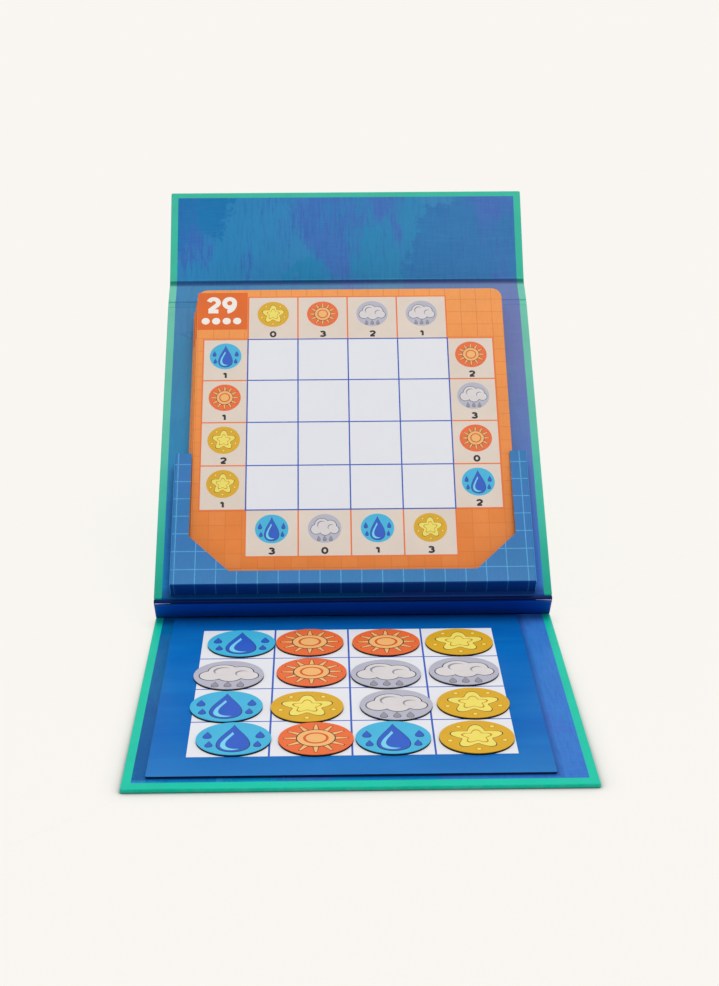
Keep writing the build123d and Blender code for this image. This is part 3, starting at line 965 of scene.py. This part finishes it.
# The card pocket: one sheet of printed card, creased and folded into a shallow tray with a window
# between two ears, its flanges glued to the back cover's lining. The folded CAD sheet is kept, and
# its blue ink with a pale squared pattern runs over the folds.
POCKET_SQUARES = {"step_x": 9.4, "step_y": 9.72, "shift_x": -80.71, "shift_y": 11.9, "line": 0.42}
FOLD_SIDE, FOLD_LEVEL, SEAM_TOP = 82.3, 8.15, 4.1  # where the tray is paler along its folds and at its lower corners
FOOT_FOLD = 4.15  # below this the sheet is the tray's lower wall, printed navy
BACK_ANGLE = PANELS["back_cover"][1]
grid_inputs = {"Place": None, "Step x": 10.0, "Step y": 10.0, "Shift x": 0.0, "Shift y": 0.0, "Line": 0.5}
line_grid, entry, leave = make_group("line_grid", grid_inputs, ("Lines", "Check"))
across, height, _ = entry["Place"].split()
masks, squares = [], []
for axis, reach in (("x", across), ("y", height)):
    turns = (reach - entry[f"Shift {axis}"]) / entry[f"Step {axis}"]
    squares.append(turns.floor())
    away = abs(turns - turns.rounded()) * entry[f"Step {axis}"]
    masks.append((entry["Line"] * 0.5 - away) * 12.0 + 0.5)
lines = add_node(line_grid, "Clamp", {"Value": masks[0].larger(masks[1])})
square = add_node(line_grid, "CombineXYZ", {"X": squares[0], "Y": squares[1]})
dice = add_node(line_grid, "TexWhiteNoise", {"Vector": square}, "Value")
set_inputs(leave, {"Lines": lines, "Check": dice})


def pocket_blue(place):
    """Blue ink with washed patches and thin pale lines in squares, a navy lower wall with painted
    shade towards the lining, and paler lines along the folds.
    """
    across, height, level = place.split()
    wash = noise(place, 0.03, 5.0, 0.6, 0.4)
    ground = mix(wash.spread(0.4, 0.62), srgb(10, 112, 176), srgb(26, 111, 182))
    ground = mix(height.spread(26.0, 6.0, 0.0, 0.4), ground, srgb(54, 132, 186))
    grain = noise(stretched(place, Scale=(2.2, 0.25, 1.0)), 1.0, 4.0, 0.7)
    ground = mix(grain.spread(0.45, 0.75, 0.0, 0.3), ground, srgb(12, 84, 160))
    broken = noise(place, 0.8, 3.0)
    lines = placed_group(line_grid, "Lines", place=place, **POCKET_SQUARES)
    foot = height < FOOT_FOLD
    # the lower wall's navy print, darker towards the lining with painted shade
    wall = mix(level.spread(1.0, 8.0), srgb(2, 38, 110), srgb(2, 54, 134))
    ground = mix(foot * 0.93, ground, wall)
    strength = lines * (broken + 0.24) * foot.spread(0.0, 1.0, 1.0, 0.3)
    inked = mix(strength, ground, srgb(86, 176, 226))
    # paler along the folds and at the lower corners
    raised = (level > FOLD_LEVEL).larger(height < SEAM_TOP)
    pale_edge = (abs(across) > FOLD_SIDE) * raised * (broken + 0.3)
    return mix(pale_edge, inked, srgb(64, 156, 220))


def pocket_place(tree):
    """The place on the back cover laid flat, for the CAD sheet, which remembers none."""
    here = stretched(object_place(tree), Location=tuple(-Vector(HINGE["back_cover_fold"])))
    return stretched(here, Rotation=(-radians(BACK_ANGLE), 0, 0), Scale=(1000.0, 1000.0, 1000.0))


recolour("card_pocket", paper_material("pocket_print", pocket_blue, 0.34, laid=pocket_place))

# The puzzle cards: white-cored card printed orange with a faint squared ground, punched with round
# corners. Four stand flat against the lining, and two lean forward in front of them.
CARD_WIDTH, CARD_HEIGHT, CARD_THICKNESS, CARD_CORNER = 150.4, 165.1, 0.38, 5.0
CARD_FOOT, CARD_EDGE = 4.5, 0.06
CARD_SQUARES = {"step_x": 7.6, "step_y": 7.6, "shift_x": 2.4, "shift_y": 3.0, "line": 0.34}
STACK_CARDS, STACK_PITCH = 4, 0.43


def card_orange(place):
    """Orange ink with a faint squared pattern, some squares a shade apart."""
    lines, check = placed_group(line_grid, ("Lines", "Check"), place=place, **CARD_SQUARES)
    _, height, _ = place.split()
    ground = mix(height.spread(10.0, CARD_HEIGHT), srgb(232, 126, 44), srgb(248, 156, 76))
    ground = mix(check.spread(0.35, 0.9, 0.0, 0.16), ground, srgb(248, 162, 90))
    grain = noise(stretched(place, Scale=(2.0, 0.3, 1.0)), 1.0, 4.0, 0.7)
    ground = mix(grain.spread(0.45, 0.8, 0.0, 0.35), ground, srgb(226, 112, 40))
    return mix(lines * 0.5, ground, srgb(206, 104, 44))


card_print = paper_material("card_print", card_orange, 0.4, rub=0.1)
# the cut edges: the card's core colour, darkened with painted shade from the gaps between the cards
card_core = paper_material("card_core", srgb(196, 152, 112), 0.7)
clue_paper = paper_material("clue_paper", srgb(229, 214, 200), 0.5)
tag_ink = paper_material("tag_ink", srgb(231, 104, 22), 0.42, mottle=0.12)
card_line_ink = paper_material("card_line_ink", srgb(240, 118, 56), 0.45)
white_ink = paper_material("white_ink", srgb(250, 244, 236), 0.5)
digit_ink = paper_material("digit_ink", srgb(44, 40, 44), 0.5)


def card_place(distance, lean):
    """Where a card stands: its foot on the pocket's floor, off the lining, leaning forward."""
    angle = radians(BACK_ANGLE)
    up, off = Vector((0, cos(angle), sin(angle))), Vector((0, -sin(angle), cos(angle)))
    foot = Vector(HINGE["back_cover_fold"]) + (up * CARD_FOOT + off * (INSIDE + distance)) * 0.001
    return stand_at(foot, BACK_ANGLE + lean)


def blank_card(name, shift, lift, where):
    """One card without its puzzle, printed side up."""
    outline = round_rectangle(CARD_WIDTH, CARD_HEIGHT, CARD_CORNER, (shift, CARD_HEIGHT / 2 + lift))
    return make_slab(name, outline, 0.0, CARD_THICKNESS, CARD_EDGE, where, [card_print, card_core], 2)


def draw_pack(card, cards, pitch):
    """The rear cards are one pack: the same card repeated at an even pitch."""
    row = add_node(card.tree, "GeometryNodeMeshLine", {"Count": cards, "Offset": pitch})
    return change("RealizeInstances", change("InstanceOnPoints", row, Instance=card))


card_pack = geometry_tree("card_pack", draw_pack, geometry="Geometry", cards="Int", pitch="Vector")

# The puzzle itself: a field of four by four white cells, clues round it, and the card's number.
PLAY = ((-50.0, 47.25), (37.2, 134.7))
# Each side's clues: how many cells across and up, and where they lie.
CLUES = {
    "top": (CELLS, 1, (PLAY[0], (134.7, 160.5))),
    "left": (1, CELLS, ((-71.6, -50.0), PLAY[1])),
    "right": (1, CELLS, ((47.25, 69.5), PLAY[1])),
    "bottom": (CELLS, 1, (PLAY[0], (12.2, 37.2))),
}
CLUE_LINE, PLAY_LINE, PLAY_EDGE = 0.7, 0.65, 0.6  # between the cells, and round the field
TAG = ((-75.0, -50.5), (140.8, 163.4))
CLUE_RADIUS = 7.7
CLUE_RISE, DIGIT_DROP = 0.09, 0.38  # how far up and down from the middle of the cell they stand
CLUE_DIGIT = (3.8, 3.3, 1.0, 0.0)  # height, width and weight of a digit, and the gap to the next
CARD_NUMBER = (10.0, 7.3, 2.4, 0.6)
DOTS, DOT_PITCH, DOT_RADIUS = 4, 5.15, 2.0  # the row of dots under the card's number
# Each side's four clues in the same order: the first letter of the colour, and the digit.
PUZZLES = {
    29: ("y0 o3 g2 g1", "b1 o1 y2 y1", "o2 g3 o0 b2", "b3 g0 b1 y3"),
    30: ("g1 b2 y0 o2", "o0 g2 b1 b3", "y1 b0 g2 o1", "g3 y2 o1 b0"),
    31: ("b0 y1 o2 b3", "g2 b1 o3 y0", "b1 o2 y0 g1", "o1 b2 g0 g3"),
}
# Plain bold digits as strokes in a box of 1 by 1. A stroke that comes back to its start is a ring.
DIGITS = {
    "0": [arc(0.5, 0.5, 0.5, 0.5, 0, 360, 28)],
    "1": [[(0.62, 0.0), (0.62, 1.0)], [(0.12, 0.8), (0.62, 1.0)]],
    "2": [arc(0.5, 0.7, 0.48, 0.3, 165, -35) + [(0.12, 0.06)], [(0.0, 0.0), (1.0, 0.0)]],
    "3": [arc(0.47, 0.76, 0.45, 0.24, 150, -90), arc(0.47, 0.27, 0.53, 0.27, 88, -150)],
    "9": [arc(0.5, 0.66, 0.5, 0.34, 0, 360, 28), arc(0.26, 0.64, 0.74, 0.66, -2, -88)],
}


def add_stroke(mesh, path, width, low, high, slot):
    """Prints a line of even width along a path, with cut ends."""
    ring = hypot(path[0][0] - path[-1][0], path[0][1] - path[-1][1]) < 1e-6
    path = path[:-1] if ring else path
    count = len(path)
    rows = []
    for index, (x, y) in enumerate(path):
        ways = []
        for this, that in ((index - 1, index), (index, index + 1)):
            if ring or (this >= 0 and that < count):
                (x0, y0), (x1, y1) = path[this % count], path[that % count]
                size = hypot(x1 - x0, y1 - y0)
                ways.append((-(y1 - y0) / size, (x1 - x0) / size))
        across = Vector((sum(w[0] for w in ways), sum(w[1] for w in ways))).normalized()
        across *= width / 2 / max(across.dot(Vector(ways[0])), 0.5)
        left, right = (x + across.x, y + across.y), (x - across.x, y - across.y)
        rows.append(add_ring(mesh, [right, left], low) + add_ring(mesh, [left, right], high))
    if not ring:
        return add_skin(mesh, rows, slot)
    for this, that in zip(rows, rows[1:] + rows[:1]):
        bridge(mesh, this, that, slot)


def add_digits(mesh, text, x, y, size, level, slot):
    """Prints digits of plain bold type round a centre."""
    height, width, weight, gap = size
    left = x - (len(text) * width + (len(text) - 1) * gap) / 2
    y0 = y - height / 2 + weight / 2
    for place_in_text, digit in enumerate(text):
        x0 = left + place_in_text * (width + gap) + weight / 2
        for order, path in enumerate(DIGITS[digit]):
            path = [(x0 + x * (width - weight), y0 + y * (height - weight)) for x, y in path]
            add_stroke(mesh, path, weight, level - INK_DEPTH, level + 2 * INK + 0.002 * order, slot)


def print_puzzle(name, number, shift, lift, where):
    """Prints a whole puzzle on the face of a card."""
    level = CARD_THICKNESS
    shifted = where @ Matrix.Translation((shift, lift, 0))
    blocks = [
        (f"ground_{side}", 1, 1, field, -CLUE_LINE, 1, card_line_ink)
        for side, (_, _, field) in CLUES.items()
    ]
    for side, (columns, rows, field) in CLUES.items():
        blocks.append((f"clues_{side}", columns, rows, field, CLUE_LINE, 2, clue_paper))
    blocks.append(("play_lines", 1, 1, PLAY, -PLAY_EDGE, 3, cell_line_ink))
    blocks.append(("play_cells", CELLS, CELLS, PLAY, PLAY_LINE, 4, cell_white))
    blocks.append(("tag", 1, 1, TAG, 0.0, 1, tag_ink))
    parts = [
        print_cells(f"{name}_{part}", columns, rows, field, line, level + layer * INK, ink, shifted)
        for part, columns, rows, field, line, layer, ink in blocks
    ]
    inks = [digit_ink, white_ink, outline_ink]
    first = {}
    for colour in SIGN_COLOURS:
        first[colour[0]] = colour, len(inks)
        inks += sign_inks[colour]
    drawn = start_mesh()
    for clues, (columns, rows, (across, upward)) in zip(PUZZLES[number], CLUES.values()):
        width, height = length(across) / columns, length(upward) / rows
        for order, (letter, digit) in enumerate(clues.split()):
            colour, slot = first[letter]
            x = across[0] + (order * (columns > 1) + 0.5) * width
            y = upward[1] - (order * (rows > 1) + 0.5) * height
            spot_y, digit_y = y + height * CLUE_RISE, y - height * DIGIT_DROP
            top = level + 3 * INK
            add_ink(drawn, spot_outline(x, spot_y, CLUE_RADIUS, 48), level, top, slot)
            add_sign(drawn, colour, x, spot_y, CLUE_RADIUS, top, [slot, slot + 1, slot + 2, 2])
            add_digits(drawn, digit, x, digit_y, CLUE_DIGIT, level + INK, 0)
    tag_x, tag_y = middle(TAG[0]), TAG[1][1]
    add_digits(drawn, str(number), tag_x - 0.6, tag_y - 7.6, CARD_NUMBER, level, 1)
    for dot in range(DOTS):
        x = tag_x - 0.5 + (dot - (DOTS - 1) / 2) * DOT_PITCH
        add_ink(drawn, spot_outline(x, tag_y - 17.4, DOT_RADIUS), level, level + 2 * INK, 1)
    parts.append(finish_mesh(drawn, f"{name}_clues", shifted, inks))
    return join_pieces(name, parts)


for node, body, distance, lean, shift, lift, number in (
    ("puzzle_card_front", "front_card", 2.75, 3.0, 0.9, 4.3, 29),
    ("puzzle_card_second", "second_card", 2.32, 2.4, 0.0, 0.0, 30),
    ("puzzle_card_stack", "card_stack", 0.6, 0.0, -1.4, 0.0, 31),
):
    where = card_place(distance, lean)
    if body == "card_stack":
        single = blank_card("one_card", shift, lift, Matrix.Identity(4))
        pack = {"base": single.data, "cards": STACK_CARDS, "pitch": (0, 0, STACK_PITCH)}
        card = grow(card_pack, f"{node}_card", where, **pack)
        bpy.data.objects.remove(single)
        where = card_place(distance + (STACK_CARDS - 1) * STACK_PITCH, lean)
    else:
        card = blank_card(f"{node}_card", shift, lift, where)
    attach(card, body)
    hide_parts(node)
    puzzle = print_puzzle(f"{node}_puzzle", number, shift, lift, where)
    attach(puzzle, body)

# The table, the light and the camera. A pale floor that runs out of sight, one soft light high up,
# faint white light from all round, and the photograph's viewpoint.
FLOOR_SIZE, FLOOR_LEVEL = 60.0, -2e-5
TABLE_COLOUR = srgb(249, 246, 241)
EVENING = (0.1, 0.9)  # how far the ground is evened out, in front of and behind the hinge
CONTACT = (1.6, 0.3)  # how strong the painted contact shadow on the table is, at the case's front and at its back
floor_data = bpy.data.meshes.new("floor")
corners = [(x, y, FLOOR_LEVEL) for x, y in ((-1, -1), (1, -1), (1, 1), (-1, 1))]
corners = [(x * FLOOR_SIZE / 2, y * FLOOR_SIZE / 2, z) for x, y, z in corners]
floor_data.from_pydata(corners, [], [(0, 1, 2, 3)])
floor_piece = put_in_scene("floor", floor_data)
floor_material, tree, surface = new_material("floor_pale")
# A painted contact shadow darkens the pale table softly where the case stands on it.
nearby = add_node(tree, "AmbientOcclusion", {"Color": TABLE_COLOUR, "Distance": 0.009}, "AO")
_, depth, _ = object_place(tree).split()
contact_shadow = nearby.power(depth.spread(-0.06, 0.06, *CONTACT))
shaded = mix(contact_shadow, srgb(60, 66, 72), TABLE_COLOUR)
set_inputs(surface, {"Roughness": 1.0, "Specular IOR Level": 0.0, "Base Color": shaded})
watched = add_node(tree, "LightPath", None, "Is Camera Ray")
share = watched * depth.spread(-0.02, 0.08, *EVENING)
even = add_node(tree, "Emission", {"Color": shaded})
shaders = {0: share, 1: Output(tree, surface.outputs[0]), 2: even}
evened = add_node(tree, "MixShader", shaders)
set_inputs(tree.nodes["Material Output"], {"Surface": evened})
floor_data.materials.append(floor_material)

SUN_STRENGTH, SUN_WIDTH = 1.6, 40.0
SUN_WAY = (0.12, 0.06, 1.0)  # from the game towards the light: overhead and a little right
AMBIENT = 0.5
sun_data = bpy.data.lights.new("overhead", "SUN")
sun_data.energy, sun_data.angle = SUN_STRENGTH, radians(SUN_WIDTH)
sun = put_in_scene("overhead", sun_data)
sun.rotation_euler = Vector(SUN_WAY).to_track_quat("Z", "Y").to_euler()

world = bpy.data.worlds.new("studio")
bpy.context.scene.world = world
world.use_nodes = True
ways = ("Is Camera Ray", "Is Glossy Ray")
watched, mirrored = add_node(world.node_tree, "LightPath", None, ways)
seen = watched.larger(mirrored)
light = {"Color": mix(seen, (1, 1, 1, 1), TABLE_COLOUR), "Strength": seen.spread(0.0, 1.0, AMBIENT, 1.0)}
set_inputs(world.node_tree.nodes["Background"], light)

PHOTO_HEIGHT, FOCAL_PIXELS, SENSOR = 986, 1960.47, 36.0
CAMERA_SPOT = (-0.012483, -0.747424, 0.334088)
PITCH, YAW, ROLL = radians(18.156), radians(1.072), radians(-0.212)
forward = Vector((sin(YAW) * cos(PITCH), cos(YAW) * cos(PITCH), -sin(PITCH)))
right = Vector((cos(YAW), -sin(YAW), 0))
up = right.cross(forward)
rolled_right, rolled_up = right * cos(ROLL) + up * sin(ROLL), up * cos(ROLL) - right * sin(ROLL)
camera_data = bpy.data.cameras.new("camera")
camera_data.lens = FOCAL_PIXELS * SENSOR / PHOTO_HEIGHT
camera_data.clip_start, camera_data.clip_end = 0.01, 200.0
camera = put_in_scene("camera", camera_data)
turned = Matrix((rolled_right, rolled_up, -forward)).transposed().to_4x4()
camera.matrix_world = Matrix.Translation(CAMERA_SPOT) @ turned
bpy.context.scene.camera = camera
bpy.context.scene.view_settings.view_transform = "Standard"
